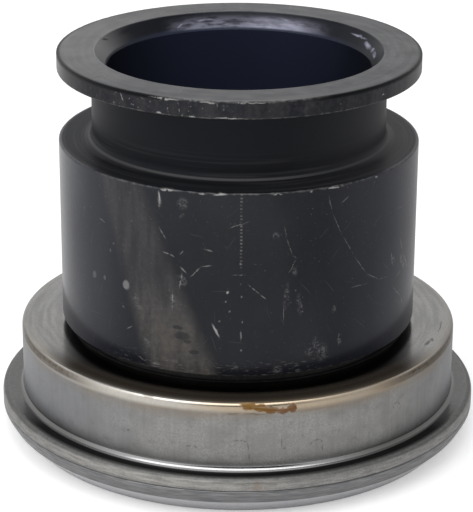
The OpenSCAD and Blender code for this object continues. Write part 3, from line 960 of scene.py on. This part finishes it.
# Corners of the turned sections: radius, height, and the radius of the round
SLEEVE_CORNERS = [
    (BORE_R + NOSE_BEVEL, NOSE_Z, 0),
    (NOSE_R - NOSE_BEVEL, NOSE_Z, 0),
    (NOSE_R, NOSE_Z + NOSE_BEVEL, 0),
    (NOSE_R, BARREL_Z, 0),
    (BARREL_R, BARREL_Z, SLEEVE_EDGE),
    (BARREL_R, SHOULDER_Z, SLEEVE_EDGE),
    (NECK_R, SHOULDER_Z, NECK_ROUND),
    (NECK_R, FLANGE_Z, FLANGE_ROUND),
    (FLANGE_R, FLANGE_Z, SLEEVE_EDGE),
    (FLANGE_R, TOP_Z, SLEEVE_EDGE),
    (MOUTH_R, TOP_Z, FINE_EDGE),
    (BORE_R, MOUTH_Z, FINE_EDGE),
    (BORE_R, NOSE_Z + NOSE_BEVEL, 0),
]
SHELL_CORNERS = [
    (SHELL_IN_R, SEAM_Z, 3.2),
    (RIM_R, SEAM_Z, 0.3),
    (RIM_R, RIM_Z, 1.1),
    (SHELL_R, RIM_Z, 0.8),
    (SHELL_R, SHELL_Z, 0.7),
    (LIP_R, SHELL_Z, FINE_EDGE),
    (LIP_R, LIP_Z, FINE_EDGE),
    (SHELL_IN_R, LIP_Z, 0.5),
]
RING_CORNERS = [
    (RING_BORE_R + RING_BEVEL, 0.0, 0),
    (BEVEL_R, 0.0, 0),
    (TAPER_R, TAPER_Z, 0),
    (RIM_R, SIDE_Z, 0),
    (RIM_R, SEAM_Z, 0.35),
    (SHELL_IN_R, SEAM_Z, 0),
    (SHELL_IN_R, RING_WALL_Z, 0),
    (TRACK_CENTRE[0] + TRACK_R, RING_WALL_Z, 0),
    *track(TRACK_CENTRE, TRACK_R, 0, TRACK_END),
    (RING_TRACK_R, SEAM_Z, 0),
    (LEDGE_R, SEAM_Z, 0),
    (LEDGE_R, LEDGE_Z, 0),
    (RING_BORE_R, LEDGE_Z, 0),
    (RING_BORE_R, RING_BEVEL, 0),
]

sleeve_steel = SleeveFinish().finished()
shell_steel = ShellFinish().finished()
ring_steel = ring_finish()
turned_piece(
    "sleeve", "carrier_sleeve", "carrier", SLEEVE_CORNERS, sleeve_steel,
    depth=0.04, often=0.7, seed=3,
)
turned_piece(
    "shell", "dust_shell", "rotor", SHELL_CORNERS, shell_steel,
    depth=0.03, often=0.5, seed=5,
)
turned_piece(
    "ring", "thrust_ring", "rotor", RING_CORNERS, ring_steel,
    depth=0.03, often=0.6, seed=8,
)

# The nodes that keep their solids. The race's collar, in the gap under the barrel, is painted black as
# painted shade
race_steel = plain_steel(
    "ground_race", BEARING_STEEL, BEARING_DULL, rough=0.14, grain=3.0, shade_from=GAP_SHADE_Z,
)
ball_steel = plain_steel("polished_ball", BALL_STEEL, BALL_DULL, rough=0.05, grain=0.5)
rubber = rubber_finish()
kept_finishes = {
    "rear_race": race_steel,
    "ball_cage": plain_steel("pressed_cage", CAGE_STEEL, CAGE_DULL, rough=0.28, grain=1.5),
    "rear_seal": rubber,
    "front_seal": rubber,
}
for name, node in nodes.items():
    finish = kept_finishes.get(name, ball_steel if name.startswith("ball_") else None)
    if finish:
        for place in node.material_slots:
            place.material = finish


def studio():
    """White room, a little brighter on the left and dark behind the camera."""
    world = bpy.data.worlds.new("studio")
    bpy.context.scene.world = world
    world.use_nodes = True
    world.cycles.sampling_method = "NONE"
    tree = world.node_tree
    tree.nodes.clear()
    start = Field(tree)
    heading = start.add("ShaderNodeTexCoord", out="Generated")
    rays = start.add("ShaderNodeLightPath").socket.node.outputs
    seen = Field(tree, rays["Is Camera Ray"])
    across, _, _ = heading.split()
    dark_side = Vector((0.064, -0.931, 0.358)).normalized()
    outline, core = [math.cos(math.radians(angle)) for angle in (34, 18)]
    dark = heading.vector("DOT_PRODUCT", dark_side, out="Value").ramp(outline, core)
    level = (0.81 - across * 0.2 - dark * 0.76).towards(1.0, seen)
    light = start.add("ShaderNodeBackground", None, {"Color": (1, 1, 1, 1), "Strength": level})
    start.add("ShaderNodeOutputWorld", None, {"Surface": light})


def floor():
    """Plain white paper just under the part. Reflections see it darker at the part's sides."""
    size = 4.0
    below = -0.05 * MM
    mesh = bpy.data.meshes.new("floor")
    corners = [(-size, -size, below), (size, -size, below), (size, size, below), (-size, size, below)]
    mesh.from_pydata(corners, [], [(0, 1, 2, 3)])
    plane = bpy.data.objects.new("floor", mesh)
    bpy.context.scene.collection.objects.link(plane)
    paper = bpy.data.materials.new("white_paper")
    paper.use_nodes = True
    paper.cycles.emission_sampling = "NONE"
    tree = paper.node_tree
    tree.nodes.clear()
    start = Field(tree)
    rays = start.add("ShaderNodeLightPath").socket.node.outputs
    kinds = ("Is Camera Ray", "Is Glossy Ray", "Is Transmission Ray")
    camera_ray, glossy_ray, clear_ray = [Field(tree, rays[kind]) for kind in kinds]
    seen = camera_ray.most(clear_ray) * 0.32 + glossy_ray * 0.04
    across, _, _ = start.add("ShaderNodeTexCoord", out="Object").split()
    shade = across.ramp(0.03, 0.11) * 0.34 + across.ramp(-0.03, -0.11) * 0.05
    white = 0.8 - shade * glossy_ray * 0.8
    matt = start.add("ShaderNodeBsdfDiffuse", None, {"Color": start.joined(white, white, white)})
    glow = start.add("ShaderNodeEmission", None, {"Strength": seen})
    both = start.add("ShaderNodeAddShader", None, {0: matt, 1: glow})
    start.add("ShaderNodeOutputMaterial", None, {"Surface": both})
    mesh.materials.append(paper)


def lamp(name, at, aim, size, watts):
    """Soft square lamp that the camera doesn't see. Its places and its size are in metres."""
    data = bpy.data.lights.new(name, "AREA")
    data.shape = "SQUARE"
    data.size = size
    data.energy = watts
    box = bpy.data.objects.new(name, data)
    bpy.context.scene.collection.objects.link(box)
    box.location = at
    box.rotation_euler = (Vector(aim) - Vector(at)).to_track_quat("-Z", "Y").to_euler()
    box.visible_camera = False


def camera():
    """The photograph's viewpoint, with its slight roll."""
    elevation = math.radians(21.14)
    roll = math.radians(0.33)
    away = 427.6
    aim_z = 33.9
    picture = 512
    data = bpy.data.cameras.new("camera")
    data.lens = 150.94
    data.sensor_width = 36.0
    data.shift_x = -1.645 / picture
    data.shift_y = 0.5 / picture
    eye = bpy.data.objects.new("camera", data)
    bpy.context.scene.collection.objects.link(eye)
    place = Vector((0, -away * math.cos(elevation), aim_z + away * math.sin(elevation))) * MM
    turn = Matrix.Rotation(math.pi / 2 - elevation, 4, "X") @ Matrix.Rotation(roll, 4, "Z")
    eye.matrix_world = Matrix.Translation(place) @ turn
    bpy.context.scene.camera = eye


studio()
floor()
lamp("soft_box", at=(-0.08, -0.2, 0.6), aim=(0, 0, 0.03), size=0.66, watts=2.5)
camera()
bpy.context.scene.view_settings.view_transform = "Standard"
